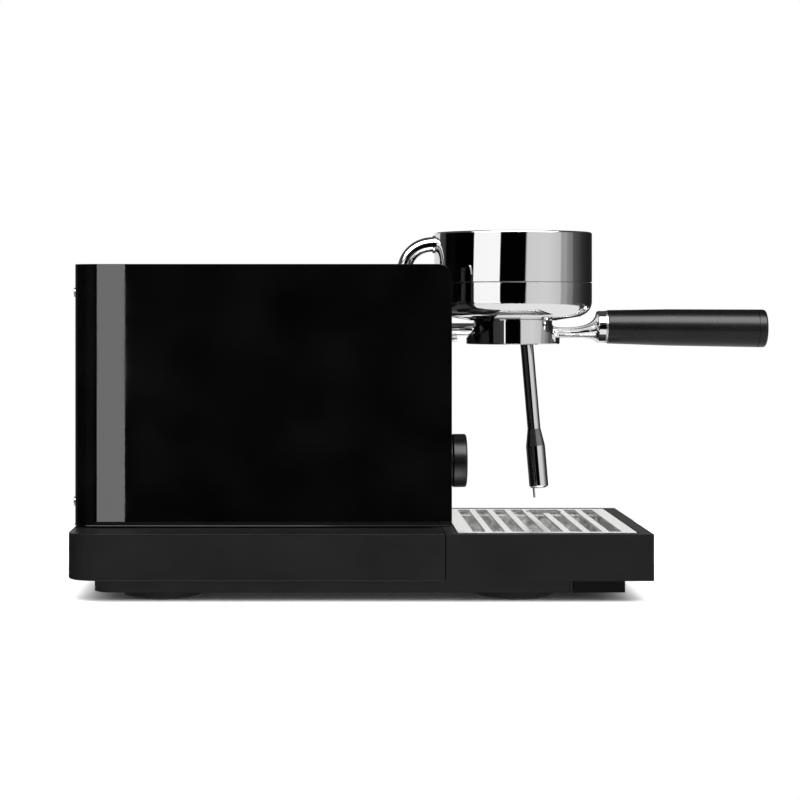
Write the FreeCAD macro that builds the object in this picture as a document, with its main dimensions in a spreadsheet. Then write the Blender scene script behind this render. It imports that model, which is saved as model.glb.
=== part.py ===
"""Portafilter espresso machine with a side steam wand, modelled piece by piece.

Frame: +X is the front (handle and drip tray), +Y the steam wand's side, +Z up.
The origin is on the table, under the middle of the machine's length and width.
Every length is in millimetres and is kept in the spreadsheet "sizes".
"""
import FreeCAD, Part
import math
import os

import Sketcher
from FreeCAD import Placement, Rotation, Vector

doc = FreeCAD.newDocument("espresso_machine")
sheet = doc.addObject("Spreadsheet::Sheet", "sizes")
pieces = []

WORLD = {"X": Vector(1, 0, 0), "Y": Vector(0, 1, 0), "Z": Vector(0, 0, 1)}

# How a shape modelled along Z is turned to lie along each axis.
LYING = {
    "X": Rotation(WORLD["Y"], 90),
    "Y": Rotation(WORLD["X"], -90),
    "Z": Rotation(),
}

DRIVING = {
    # Moulded base and the plate beneath it
    "base_back": -257.2,
    "base_front": 7.5,
    "base_half_width": 100.0,
    "base_bottom": 16.0,
    "base_top": 47.2,
    "base_corner": 18.0,
    "base_wall": 6.0,
    "base_floor": 3.0,
    "deck_sheet": 1.4,
    "plinth_back": -240.0,
    "plinth_front": 98.5,
    "plinth_half_width": 84.0,
    "plinth_bottom": 6.0,
    "plinth_wall": 3.0,
    "plinth_corner": 14.0,
    "foot_radius": 28.5,
    "rear_foot_x": -192.5,
    "front_foot_x": 59.8,
    "foot_side": 50.0,
    # Casing, a folded sheet that wraps both sides and the back
    "casing_back": -257.4,
    "casing_front": 15.2,
    "casing_half_width": 55.0,
    "casing_bottom": 49.3,
    "casing_top": 238.4,
    "casing_sheet": 2.5,
    "casing_corner": 17.3,
    "cheek_corner": 10.0,
    "cover_top": 236.4,
    "cover_sheet": 2.6,
    "cover_back": -150.0,
    "panel_sheet": 3.0,
    "panel_half_width": 52.3,
    "partition_x": -156.5,
    "partition_sheet": 1.5,
    # Brew group
    "group_x": 64.1,
    "group_radius": 58.4,
    "group_top": 262.7,
    "group_seam": 225.5,
    "group_bowl_side": 209.7,
    "group_bottom": 197.8,
    "group_wall": 4.0,
    "socket_radius": 33.4,
    "bayonet_radius": 38.2,
    "lip_radius": 33.0,
    # Portafilter
    "ring_radius": 34.6,
    "ring_bore": 30.0,
    "ring_bottom": 180.0,
    "ring_shoulder": 197.4,
    "ring_top": 206.6,
    "ring_neck_radius": 32.6,
    "ear_radius": 37.6,
    "basket_radius": 29.5,
    "basket_sheet": 0.7,
    "neck_end": 126.6,
    "handle_level": 192.8,
    "handle_drop": 0.6,
    "grip_start_radius": 12.45,
    "grip_end_radius": 14.05,
    "grip_start": 7.2,
    "grip_end": 118.7,
    "handle_end": 125.3,
    "stud_radius": 4.0,
    # Water pipe from the casing to the group
    "feed_x": -17.1,
    "feed_level": 254.0,
    "feed_radius": 5.4,
    "feed_bend": 21.0,
    # Steam wand
    "wand_side": 65.0,
    "wand_level": 190.0,
    "wand_radius": 5.0,
    "wand_bend": 13.0,
    "wand_bend_x": 79.96,
    "wand_end_x": 86.5,
    "wand_end_level": 113.4,
    "wand_lean": 4.88,
    "tip_radius": 7.35,
    "tip_length": 45.9,
    "tip_taper": 13.6,
    "steam_port_x": -10.0,
    "fitting_radius": 9.8,
    # Control knob
    "knob_level": 93.2,
    "knob_radius": 19.75,
    "knob_back": 19.1,
    "knob_front": 29.2,
    "bezel_front": 18.3,
    "shaft_radius": 2.95,
    # Drip tray
    "tray_back": 8.2,
    "tray_front": 153.7,
    "tray_top": 48.6,
    "tray_wall": 2.8,
    "rim_width": 12.0,
    "lip_back": 99.3,
    "lip_front": 135.5,
    "plate_back": 17.4,
    "plate_front": 143.2,
    "plate_half_width": 90.0,
    "plate_sheet": 1.6,
    "slot_start": 28.3,
    "slot_width": 9.0,
    "slot_pitch": 13.76,
    "slot_count": 8,
    "slot_half_length": 83.0,
    "finger_x": 94.3,
    "finger_side": 69.0,
    "finger_radius": 13.5,
    # Water tank
    "tank_back": -250.0,
    "tank_front": -164.0,
    "tank_half_width": 46.0,
    "tank_bottom": 62.0,
    "tank_top": 226.0,
    "tank_wall": 2.5,
    "lid_sheet": 3.0,
    "lid_pin_x": -240.4,
    "lid_pin_radius": 0.7,
    "valve_x": -182.0,
    # Water circuit
    "hose_radius": 3.0,
    "hose_bore": 1.5,
    "hose_bend": 12.0,
    "suction_level": 54.2,
    "pump_side": -28.0,
    "pump_level": 72.0,
    "heater_back": -120.0,
    "heater_front": -40.0,
    "heater_inner": 2.0,
    "heater_outer": 48.0,
    "heater_bottom": 64.0,
    "heater_top": 132.0,
    # Power entry
    "inlet_side": -30.0,
    "switch_side": 40.0,
    "entry_level": 32.0,
}


class Size:
    """A number together with the spreadsheet expression that gives it."""

    def __init__(self, text, number):
        self.text = text
        self.number = number

    def join(self, sign, other, number):
        return Size(f"({self.text} {sign} {sized(other).text})", number)

    def __add__(self, other):
        return self.join("+", other, self.number + sized(other).number)

    def __sub__(self, other):
        return self.join("-", other, self.number - sized(other).number)

    def __mul__(self, other):
        return self.join("*", other, self.number * sized(other).number)

    def __truediv__(self, other):
        return self.join("/", other, self.number / sized(other).number)

    def __radd__(self, other):
        return sized(other) + self

    def __rsub__(self, other):
        return sized(other) - self

    def __rmul__(self, other):
        return sized(other) * self

    def __neg__(self):
        return Size(f"(-1 * {self.text})", -self.number)


def sized(value):
    """Any plain number as a Size."""
    if isinstance(value, Size):
        return value
    return Size(f"({value})", float(value))


class Sizes:
    """The spreadsheet's sizes, read by name."""

    def __getattr__(self, name):
        return Size(f"sizes.{name}", DRIVING[name])


for row, (alias, amount) in enumerate(DRIVING.items(), start=1):
    sheet.set(f"A{row}", alias)
    sheet.set(f"B{row}", str(amount))
    sheet.setAlias(f"B{row}", alias)
doc.recompute()
d = Sizes()


# ---------------------------------------------------------------- helpers


def bind(item, prop, value):
    """Bind one property of an object to the spreadsheet."""
    item.setExpression(prop, sized(value).text)


def place(item, at, turn=None):
    """Put an object at a point given in sizes, turned as told."""
    item.Placement = Placement(Vector(*[sized(v).number for v in at]), turn or Rotation())
    for axis, value in zip("xyz", at):
        bind(item, f"Placement.Base.{axis}", value)
    return item


def box(name, x, y, z):
    """A block between two levels along each axis."""
    item = doc.addObject("Part::Box", name)
    for prop, (low, high) in zip(("Length", "Width", "Height"), (x, y, z)):
        bind(item, prop, sized(high) - low)
    return place(item, (x[0], y[0], z[0]))


def rod(name, axis, start, length, radius):
    """A round bar from a start point along one axis."""
    item = doc.addObject("Part::Cylinder", name)
    bind(item, "Radius", radius)
    bind(item, "Height", length)
    return place(item, start, LYING[axis])


def gather(name, items):
    """Several identical or linked solids kept as one group."""
    item = doc.addObject("Part::Compound", name)
    item.Links = items
    return item


def fuse(name, items):
    """Several shapes joined into one solid."""
    item = doc.addObject("Part::MultiFuse", name)
    item.Shapes = items
    return item


def cut(name, base, tools):
    """A shape with others taken away, checked to have removed something."""
    tool = tools[0]
    if len(tools) > 1:
        tool = gather(name + "_tools", tools)
    item = doc.addObject("Part::Cut", name)
    item.Base = base
    item.Tool = tool
    doc.recompute()
    if item.Shape.Volume >= base.Shape.Volume - 1e-6:
        raise RuntimeError(f"{name}: the cut removed nothing")
    return item


def keep(label, item):
    """Finish a piece: it gets its own label, and is written out at the end."""
    doc.recompute()
    item.Label = label
    pieces.append(item)
    return item


def body(name):
    return doc.addObject("PartDesign::Body", name)


def sketch(owner, role="XY_Plane", level=0):
    """A sketch on one of the body's own origin planes, moved to a level along the axis."""
    item = owner.newObject("Sketcher::SketchObject", owner.Name + "_sketch")
    plane = [feature for feature in owner.Origin.OriginFeatures if feature.Role == role][0]
    item.AttachmentSupport = (plane, [""])
    item.MapMode = "FlatFace"
    offset = -sized(level) if role == "XZ_Plane" else sized(level)
    bind(item, "AttachmentOffset.Base.z", offset)
    return item


def pin_point(item, geometry, end, x, y):
    """Hold one point of a sketch at bound coordinates."""
    for kind, axis, value in (("DistanceX", -2, sized(x)), ("DistanceY", -1, sized(y))):
        if value.number == 0:
            item.addConstraint(Sketcher.Constraint("PointOnObject", geometry, end, axis))
        else:
            index = item.addConstraint(
                Sketcher.Constraint(kind, -1, 1, geometry, end, value.number))
            item.setExpression(f"Constraints[{index}]", value.text)


def chain(item, corners, closed=True):
    """Straight runs through corners (x, y) or (x, y, radius), rounded where a radius is given."""
    points = [Vector(sized(c[0]).number, sized(c[1]).number, 0) for c in corners]
    count = len(corners)
    rounds = {}
    for i, corner in enumerate(corners):
        if len(corner) < 3:
            continue
        back = (points[i - 1] - points[i]).normalize()
        ahead = (points[(i + 1) % count] - points[i]).normalize()
        half = back.getAngle(ahead) / 2
        radius = sized(corner[2]).number
        rounds[i] = {
            "from": points[i] + back * (radius / math.tan(half)),
            "to": points[i] + ahead * (radius / math.tan(half)),
            "centre": points[i] + (back + ahead).normalize() * (radius / math.sin(half)),
            "left": ahead.cross(back).z > 0,
        }
    runs = count if closed else count - 1
    for i in range(runs):
        j = (i + 1) % count
        start = rounds[i]["to"] if i in rounds else points[i]
        end = rounds[j]["from"] if j in rounds else points[j]
        item.addGeometry(Part.LineSegment(start, end), False)
    for i, corner in enumerate(corners):
        if i in rounds:
            round_corner(item, (i - 1) % count, i, corner, points[i], rounds[i])
        elif closed or 0 < i < count - 1:
            item.addConstraint(Sketcher.Constraint("Coincident", (i - 1) % count, 2, i, 1))
            pin_point(item, i, 1, corner[0], corner[1])
        elif i == 0:
            pin_point(item, 0, 1, corner[0], corner[1])
        else:
            pin_point(item, runs - 1, 2, corner[0], corner[1])
    return item


def round_corner(item, before, after, corner, point, arc):
    """One arc tangent to the runs before and after a corner."""
    radius = sized(corner[2])
    first, second = ("from", "to") if arc["left"] else ("to", "from")
    angles = []
    for end in (first, second):
        spoke = arc[end] - arc["centre"]
        angles.append(math.atan2(spoke.y, spoke.x))
    if angles[1] < angles[0]:
        angles[1] += 2 * math.pi
    circle = Part.Circle(arc["centre"], Vector(0, 0, 1), radius.number)
    curve = item.addGeometry(Part.ArcOfCircle(circle, *angles), False)
    start, end = (1, 2) if arc["left"] else (2, 1)
    item.addConstraint(Sketcher.Constraint("Tangent", before, 2, curve, start))
    item.addConstraint(Sketcher.Constraint("Tangent", curve, end, after, 1))
    index = item.addConstraint(Sketcher.Constraint("Radius", curve, radius.number))
    item.setExpression(f"Constraints[{index}]", radius.text)
    mark = item.addGeometry(Part.Point(point), True)
    pin_point(item, mark, 1, corner[0], corner[1])
    item.addConstraint(Sketcher.Constraint("PointOnObject", mark, 1, before))
    item.addConstraint(Sketcher.Constraint("PointOnObject", mark, 1, after))


def rectangle(item, x, y, radius=None):
    """A rectangle between two levels each way; a radius rounds all four corners."""
    corners = [(x[0], y[0]), (x[1], y[0]), (x[1], y[1]), (x[0], y[1])]
    if radius is not None:
        corners = [corner + (radius,) for corner in corners]
    return chain(item, corners)


def circle(item, x, y, radius):
    """A circle with its centre and radius bound."""
    at = Vector(sized(x).number, sized(y).number, 0)
    index = item.addGeometry(Part.Circle(at, Vector(0, 0, 1), sized(radius).number), False)
    pin_point(item, index, 3, x, y)
    number = item.addConstraint(Sketcher.Constraint("Radius", index, sized(radius).number))
    item.setExpression(f"Constraints[{number}]", sized(radius).text)
    return item


def pad(owner, outline, length, reverse=False):
    item = owner.newObject("PartDesign::Pad", owner.Name + "_pad")
    item.Profile = (outline, [""])
    item.Reversed = reverse
    bind(item, "Length", length)
    doc.recompute()
    return item


def pocket(owner, outline, depth, reverse=False):
    """A pocket, checked to have removed material."""
    before = owner.Shape.Volume
    item = owner.newObject("PartDesign::Pocket", owner.Name + "_pocket")
    item.Profile = (outline, [""])
    item.Reversed = reverse
    bind(item, "Length", depth)
    doc.recompute()
    if owner.Shape.Volume >= before - 1e-6:
        raise RuntimeError(f"{owner.Name}: the pocket removed nothing")
    return item


def turned(name, corners, axis="V_Axis"):
    """A piece turned from a closed profile drawn in the XZ plane."""
    owner = body(name)
    outline = chain(sketch(owner, "XZ_Plane"), corners)
    item = owner.newObject("PartDesign::Revolution", name + "_turn")
    item.Profile = (outline, [""])
    item.ReferenceAxis = (outline, [axis])
    item.Angle = 360
    doc.recompute()
    return owner


def edges_at(feature, axis, level, test=None):
    """Names of the edges that lie wholly at one level along an axis."""
    goal = sized(level).number
    names = []
    for i, edge in enumerate(feature.Shape.Edges, start=1):
        box_ = edge.BoundBox
        low = getattr(box_, axis + "Min")
        high = getattr(box_, axis + "Max")
        flat = abs(low - goal) < 0.01 and abs(high - goal) < 0.01
        if flat and (test is None or test(edge)):
            names.append(f"Edge{i}")
    return names


def soften(owner, kind, size, names):
    """A fillet or chamfer on named edges of the body's last feature."""
    if not names:
        raise RuntimeError(f"{owner.Name}: no edges found to soften")
    tip = owner.Tip
    item = owner.newObject("PartDesign::" + kind, owner.Name + "_" + kind.lower())
    item.Base = (tip, names)
    bind(item, "Radius" if kind == "Fillet" else "Size", size)
    doc.recompute()
    return item


def tube(name, role, level, corners, radius, bore=None):
    """A pipe or hose along a flat route of straight runs and tangent arcs."""
    owner = body(name)
    route = chain(sketch(owner, role, level), corners, closed=False)
    doc.recompute()
    ring = owner.newObject("Sketcher::SketchObject", name + "_section")
    ring.AttachmentSupport = (route, ["Edge1"])
    ring.MapMode = "NormalToEdge"
    circle(ring, 0, 0, radius)
    if bore is not None:
        circle(ring, 0, 0, bore)
    doc.recompute()
    item = owner.newObject("PartDesign::AdditivePipe", name + "_sweep")
    item.Profile = (ring, [""])
    item.Spine = (route, [""])
    doc.recompute()
    return owner


def corner_points(x, y):
    """The four places at the given two X levels and both sides."""
    return [(px, side) for px in x for side in (y, -y)]


# ---------------------------------------------------------------- base


def make_base():
    """Moulded tub under the machine, closed by the deck, with the power entry at the back."""
    tub = body("base")
    back, front, half = d.base_back, d.base_front, d.base_half_width
    outline = [(front, -half), (front, half), (back, half, d.base_corner),
               (back, -half, d.base_corner)]
    chain(sketch(tub, level=d.base_bottom), outline)
    pad(tub, tub.Group[0], d.base_top - d.base_bottom)
    around = lambda edge: edge.BoundBox.XMin < sized(front).number - 0.01
    soften(tub, "Fillet", 1.5, edges_at(tub.Tip, "Z", d.base_bottom, around))
    wall, floor = d.base_wall, d.base_bottom + d.base_floor
    hollow = rectangle(sketch(tub, level=floor), (back + wall, front - wall),
                       (-half + wall, half - wall), d.base_corner - wall)
    pocket(tub, hollow, d.base_top - floor, reverse=True)
    for side, width, height in ((d.inlet_side, 28, 22), (d.switch_side, 26, 20)):
        opening = sketch(tub, "YZ_Plane", back)
        rectangle(opening, (side - width / 2, side + width / 2),
                  (d.entry_level - height / 2, d.entry_level + height / 2))
        pocket(tub, opening, wall + 1, reverse=True)
    keep("base_frame", tub)


def make_plinth():
    """Shallow pan that carries the feet, with a boss for each foot screw."""
    pan = body("plinth")
    half, floor = d.plinth_half_width, d.plinth_bottom
    outer = chain(sketch(pan, level=floor), [
        (d.plinth_front, -half), (d.plinth_front, half),
        (d.plinth_back, half, d.plinth_corner), (d.plinth_back, -half, d.plinth_corner)])
    pad(pan, outer, d.base_bottom - floor)
    wall = d.plinth_wall
    inner = rectangle(sketch(pan, level=floor + wall),
                      (d.plinth_back + wall, d.plinth_front - wall),
                      (-half + wall, half - wall), d.plinth_corner - wall)
    pocket(pan, inner, d.base_bottom - floor - wall, reverse=True)
    bosses = sketch(pan, level=floor + wall)
    holes = sketch(pan, level=floor)
    for x, y in corner_points((d.rear_foot_x, d.front_foot_x), d.foot_side):
        circle(bosses, x, y, 7)
        circle(holes, x, y, 2.1)
    pad(pan, bosses, d.base_bottom - floor - wall)
    pocket(pan, holes, 9, reverse=True)
    for side in (-1, 1):
        line = rectangle(sketch(pan, level=floor), (96, 96.5),
                         (side * half - 0.8 * side, side * half + side))
        pocket(pan, line, d.base_bottom - floor, reverse=True)
    keep("bottom_plate", pan)


def make_feet():
    """Four rubber discs, each held by one screw from below."""
    feet, screws = [], []
    places = corner_points((d.rear_foot_x, d.front_foot_x), d.foot_side)
    for number, (x, y) in enumerate(places, start=1):
        height = d.plinth_bottom
        foot = turned(f"foot_{number}", [(2.1, 3), (6, 3), (6, 0), (d.foot_radius - 1.2, 0),
                                         (d.foot_radius, 1.2), (d.foot_radius, height),
                                         (2.1, height)])
        feet.append(place(foot, (x, y, 0)))
        screw = turned(f"foot_screw_{number}", [(0, 0.8), (4.2, 0.8), (4.2, 3), (2, 3),
                                                (2, 14), (0, 14)])
        screws.append(place(screw, (x, y, 0)))
    keep("feet", gather("feet_group", feet))
    keep("foot_screws", gather("foot_screw_group", screws))


def make_chassis():
    """Painted steel deck over the base, with the wall between the tank bay and the works."""
    deck = body("deck")
    half, corner, level = d.base_half_width, d.base_corner, d.base_top
    outer = chain(sketch(deck, level=level), [
        (d.base_front, -half), (d.base_front, half), (d.base_back, half, corner),
        (d.base_back, -half, corner)])
    pad(deck, outer, d.deck_sheet)
    top = level + d.deck_sheet
    wall = rectangle(sketch(deck, level=top),
                     (d.partition_x - d.partition_sheet, d.partition_x), (-50, 50))
    pad(deck, wall, 176)
    port = circle(sketch(deck, "YZ_Plane", d.partition_x), 0, d.suction_level, 3.6)
    pocket(deck, port, d.partition_sheet + 1)
    wiring = rectangle(sketch(deck, level=top), (-150, -130), (28, 46))
    pocket(deck, wiring, d.deck_sheet + 1)
    keep("chassis", deck)


# ---------------------------------------------------------------- casing


def make_casing():
    """Folded sheet round both sides and the back, with rounded corners."""
    wrap = body("casing")
    back, front, half = d.casing_back, d.casing_front, d.casing_half_width
    thick, bend = d.casing_sheet, d.casing_corner
    outline = [(front, -half), (front, -half + thick),
               (back + thick, -half + thick, bend - thick),
               (back + thick, half - thick, bend - thick), (front, half - thick),
               (front, half), (back, half, bend), (back, -half, bend)]
    chain(sketch(wrap, level=d.casing_bottom), outline)
    pad(wrap, wrap.Group[0], d.casing_top - d.casing_bottom)
    at_front = lambda edge: abs(edge.BoundBox.XMin - sized(front).number) < 0.01
    soften(wrap, "Fillet", d.cheek_corner, edges_at(wrap.Tip, "Z", d.casing_top, at_front))
    holes = sketch(wrap, "YZ_Plane", back)
    for side, level in casing_screw_places():
        circle(holes, side, level, 1.8)
    pocket(wrap, holes, thick + 1, reverse=True)
    port = circle(sketch(wrap, "XZ_Plane", half), d.steam_port_x, d.wand_level, 6.2)
    pocket(wrap, port, thick + 1, reverse=True)
    keep("casing_wrap", wrap)


def casing_screw_places():
    return [(side, level) for level in (66, 218) for side in (-34, 34)]


def make_casing_screws():
    screws = []
    for number, (side, level) in enumerate(casing_screw_places(), start=1):
        screw = turned(f"casing_screw_{number}",
                       [(-0.15, 0), (-0.15, 3.5), (0, 3.5), (0, 1.7), (4.4, 1.7), (4.4, 0)],
                       "H_Axis")
        screws.append(place(screw, (d.casing_back, side, level)))
    keep("casing_screws", gather("casing_screw_group", screws))


def make_front_panel():
    """Panel set back between the cheeks, with holes for the knob shaft and group screws."""
    panel = body("panel")
    half = d.panel_half_width
    face = sketch(panel, "YZ_Plane", -d.panel_sheet)
    rectangle(face, (-half, half), (d.casing_bottom, d.cover_top - d.cover_sheet - 0.2))
    circle(face, 0, d.knob_level, 4.2)
    for side in (-16, 16):
        circle(face, side, 217, 2.2)
    pad(panel, face, d.panel_sheet)
    keep("front_panel", panel)


def make_top_cover():
    """Flat lid over the works, with a row of vents and the water pipe's hole."""
    cover = body("cover")
    half = d.panel_half_width
    level = d.cover_top - d.cover_sheet
    outer = rectangle(sketch(cover, level=level), (d.cover_back, 0), (-half, half))
    pad(cover, outer, d.cover_sheet)
    hole = circle(sketch(cover, level=d.cover_top), d.feed_x, 0, 7.5)
    pocket(cover, hole, d.cover_sheet + 1)
    vent = rectangle(sketch(cover, level=d.cover_top), (-128, -125), (-34, 34), 1.4)
    slot = pocket(cover, vent, d.cover_sheet + 1)
    row = cover.newObject("PartDesign::LinearPattern", "vent_row")
    row.Originals = [slot]
    row.Direction = (cover_axis(cover, "X_Axis"), [""])
    row.Occurrences = 9
    bind(row, "Length", 72)
    cover.Tip = row
    keep("top_cover", cover)


def cover_axis(owner, role):
    return [feature for feature in owner.Origin.OriginFeatures if feature.Role == role][0]


# ---------------------------------------------------------------- brew group


def make_group():
    """Polished bowl and cap, with the bayonet socket, shower and heater inside."""
    out, wall, seam = d.group_radius, d.group_wall, d.group_seam
    low = d.group_bottom
    bowl = turned("bowl", [
        (d.lip_radius, low), (out - 9, low + 2.6), (out, low + 2.6 + 4.4, 11),
        (out, seam - 0.35), (out - wall, seam - 0.35), (out - wall, 219), (0, 219), (0, 214),
        (d.socket_radius, 214), (d.socket_radius, 207.5), (d.bayonet_radius, 207.5),
        (d.bayonet_radius, low + 2.4), (d.lip_radius, low + 2.4)])
    place(bowl, (d.group_x, 0, 0))
    entries = []
    for side in (0, 180):
        entry = doc.addObject("Part::Cylinder", f"ear_entry_{side}")
        bind(entry, "Radius", d.bayonet_radius)
        entry.Height = 4
        entry.Angle = 52
        turn = Rotation(WORLD["Z"], side + 90 - 26 - 50)
        entries.append(place(entry, (d.group_x, 0, low - 1), turn))
    bolts = [rod(f"bolt_way_{side}", "X", (5, side, 217), 12, 2.2) for side in (-16, 16)]
    keep("group_body", cut("bowl_open", bowl, entries + bolts))

    cap = turned("cap", [
        (0, d.group_top), (out, d.group_top, 1.5), (out, seam + 0.35),
        (out - wall - 0.1, seam + 0.35), (out - wall - 0.1, 222.4), (out - 7, 222.4),
        (out - 7, d.group_top - wall), (0, d.group_top - wall)])
    place(cap, (d.group_x, 0, 0))
    way = rod("feed_way", "X", (0, 0, d.feed_level), 16, d.feed_radius + 0.1)
    keep("group_cap", cut("cap_open", cap, [way]))

    heater = turned("ring_heater", [(22, 219), (48, 219), (48, 222), (22, 222)])
    keep("group_heater", place(heater, (d.group_x, 0, 0)))
    gasket = turned("gasket", [(27.6, 208), (33.3, 208), (33.3, 214), (27.6, 214)])
    keep("group_gasket", place(gasket, (d.group_x, 0, 0)))
    screen = turned("screen", [(2.7, 208.6), (26, 208.6), (27.2, 209.8), (27.2, 214),
                               (26.2, 214), (26.2, 210), (2.7, 210)])
    keep("shower_screen", place(screen, (d.group_x, 0, 0)))
    screw = turned("screw", [(0, 206.8), (4.6, 206.8), (5, 207.2), (5, 208.6), (2.6, 208.6),
                             (2.6, 214), (0, 214)])
    keep("shower_screw", place(screw, (d.group_x, 0, 0)))

    block = box("bracket_block", (0, 16), (-27, 27), (209.9, 224.4))
    core = rod("bracket_core", "Z", (d.group_x, 0, 200), 40, out + 0.03)
    ways = [rod(f"bracket_way_{side}", "X", (-1, side, 217), 20, 2.2) for side in (-16, 16)]
    keep("group_bracket", cut("bracket", block, [core] + ways))
    screws = []
    for side in (-16, 16):
        screw = turned(f"group_screw_{side + 16}", [(-3.8, 0), (-3.8, 4), (0, 4), (0, 2.1),
                                                    (16, 2.1), (16, 0)], "H_Axis")
        screws.append(place(screw, (-d.panel_sheet, side, 217)))
    keep("group_screws", gather("group_screw_pair", screws))


def make_feed_pipe():
    """Polished water pipe out of the top cover and into the group's back."""
    corners = [(d.feed_x, 205), (d.feed_x, d.feed_level, d.feed_bend), (14.5, d.feed_level)]
    keep("feed_pipe", tube("feed", "XZ_Plane", 0, corners, d.feed_radius, 3.4))
    loose = d.feed_radius + 0.2
    collar = turned("collar", [(4.4, loose), (4.4, 6.2), (4.8, 6.6), (5.5, 6.6),
                               (5.5, loose)], "H_Axis")
    keep("pipe_collar", place(collar, (0, 0, d.feed_level)))
    low, high = d.cover_top - d.cover_sheet, d.cover_top
    loose = d.feed_radius + 0.8
    grommet = turned("grommet", [(loose, low - 1), (8.8, low - 1), (8.8, low), (7.4, low),
                                 (7.4, high), (8.8, high), (8.4, high + 1.4),
                                 (loose, high + 1.4)])
    keep("pipe_grommet", place(grommet, (d.feed_x, 0, 0)))


# ---------------------------------------------------------------- portafilter


def make_portafilter():
    """Bottomless portafilter: ring with two ears, a scooped notch each side, a flared neck."""
    bore, out, low = d.ring_bore, d.ring_radius, d.ring_bottom
    ring = turned("ring", [(bore, low), (out - 0.6, low), (out, low + 0.6),
                           (out, d.ring_shoulder), (d.ring_neck_radius, d.ring_shoulder),
                           (d.ring_neck_radius, d.ring_top), (bore, d.ring_top)])
    place(ring, (d.group_x, 0, 0))
    solids = [ring]
    ears = turned("ears", [(bore + 0.6, 200.9), (d.ear_radius, 200.9), (d.ear_radius, 206.2),
                           (bore + 0.6, 206.2)])
    ears.Tip.Angle = 44
    for side in (0, 180):
        ear = doc.addObject("Part::Feature", f"ear_{side}")
        doc.recompute()
        ear.Shape = ears.Shape
        spot = Vector(d.group_x.number, 0, 0)
        ear.Placement = Placement(spot, Rotation(WORLD["Z"], side + 90 - 22))
        solids.append(ear)
    scoops = []
    for side in (-1, 1):
        scoop = turned(f"scoop_{side + 1}", [
            (45, d.ring_shoulder + 0.1), (45, 195), (45.8, 190.5), (46.6, 188.6), (48.4, 187),
            (50.4, 184.4), (60, 182), (60, d.ring_shoulder + 0.1)])
        scoop.Tip.Angle = 120
        turn = Rotation(WORLD["Z"], 120 if side < 0 else -60)
        scoops.append(place(scoop, (d.group_x - side * 15.7, 0, 0), turn))
    sections = []
    for x, wide, tall, level in ((93.0, 9.6, 5.6, 188.2), (99.0, 7.4, 3.9, 188.4),
                                 (105.0, 6.6, 3.85, 188.4), (111.5, 6.4, 4.15, 188.6),
                                 (118.5, 7.2, 5.1, 189.3), (123.4, 8.8, 7.1, 190.4),
                                 (125.7, 10.4, 9.4, 191.6), (126.6, 11.4, 11.3, 192.8)):
        oval = doc.addObject("Part::Ellipse", "neck_section")
        bind(oval, "MajorRadius", wide)
        bind(oval, "MinorRadius", tall)
        turn = Rotation(WORLD["Y"], WORLD["Z"], WORLD["X"], "ZXY")
        sections.append(place(oval, (x, 0, level), turn))
    neck = doc.addObject("Part::Loft", "neck")
    neck.Sections = sections
    neck.Solid = True
    solids.append(neck)
    inside = rod("ring_inside", "Z", (d.group_x, 0, low - 5), 40, bore)
    groove = doc.addObject("Part::Torus", "spring_groove")
    groove.Radius1 = 30.2
    groove.Radius2 = 0.55
    place(groove, (d.group_x, 0, 201))
    stud_way = rod("stud_way", "X", (123.4, 0, d.handle_level), 10, d.stud_radius + 0.16)
    keep("portafilter", cut("holder", fuse("holder_solid", [cut("ring_scooped", ring, scoops)]
                                      + solids[1:]), [inside, groove, stud_way]))

    thick, wide = d.basket_sheet, d.basket_radius
    top = d.ring_top
    basket = turned("basket", [(0, low + 2.4), (26, low + 2.4, 3), (wide - 1, 186),
                               (wide - 0.6, 193.2), (wide + 0.2, 193.9), (wide - 0.5, 194.6),
                               (wide, top), (32.2, top), (32.2, top + thick),
                               (wide - thick, top + thick), (wide - 1 - thick, 186.4),
                               (26 - thick, low + 2.4 + thick, 2.3), (0, low + 2.4 + thick)])
    keep("filter_basket", place(basket, (d.group_x, 0, 0)))
    spring = doc.addObject("Part::Torus", "wire")
    spring.Radius1 = 30.2
    spring.Radius2 = 0.45
    keep("basket_spring", place(spring, (d.group_x, 0, 201)))


def make_handle():
    """Handle pieces on one steel stud, the whole drooping slightly towards the hand."""
    tilt = Rotation(WORLD["Y"], d.handle_drop.number)
    hole = d.stud_radius + 0.02
    start, end = d.grip_start, d.grip_end
    thin, thick = d.grip_start_radius, d.grip_end_radius

    def along(label, corners):
        piece = turned(label + "_body", corners, "H_Axis")
        keep(label, place(piece, (d.neck_end, 0, d.handle_level), tilt))

    along("handle_ferrule", [(0.15, hole), (0.15, 11.3), (0.8, 11.75), (5.8, 11.75),
                             (5.8, hole)])
    along("handle_collar", [(5.8, hole), (5.8, 12), (start, 12), (start, hole)])
    along("handle_grip", [(start, hole), (start, thin - 0.6), (start + 0.6, thin),
                          (start + 45, thin + 1.1), (end, thick), (end, hole)])
    along("handle_cap", [(end, 0), (end, thick - 0.7), (end + 0.6, thick - 0.7),
                         (end + 0.6, thick), (d.handle_end, thick, 2), (d.handle_end, 0)])
    along("handle_stud", [(-3, 0), (-3, d.stud_radius), (end - 1, d.stud_radius),
                          (end - 1, 0)])


# ---------------------------------------------------------------- steam wand


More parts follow.
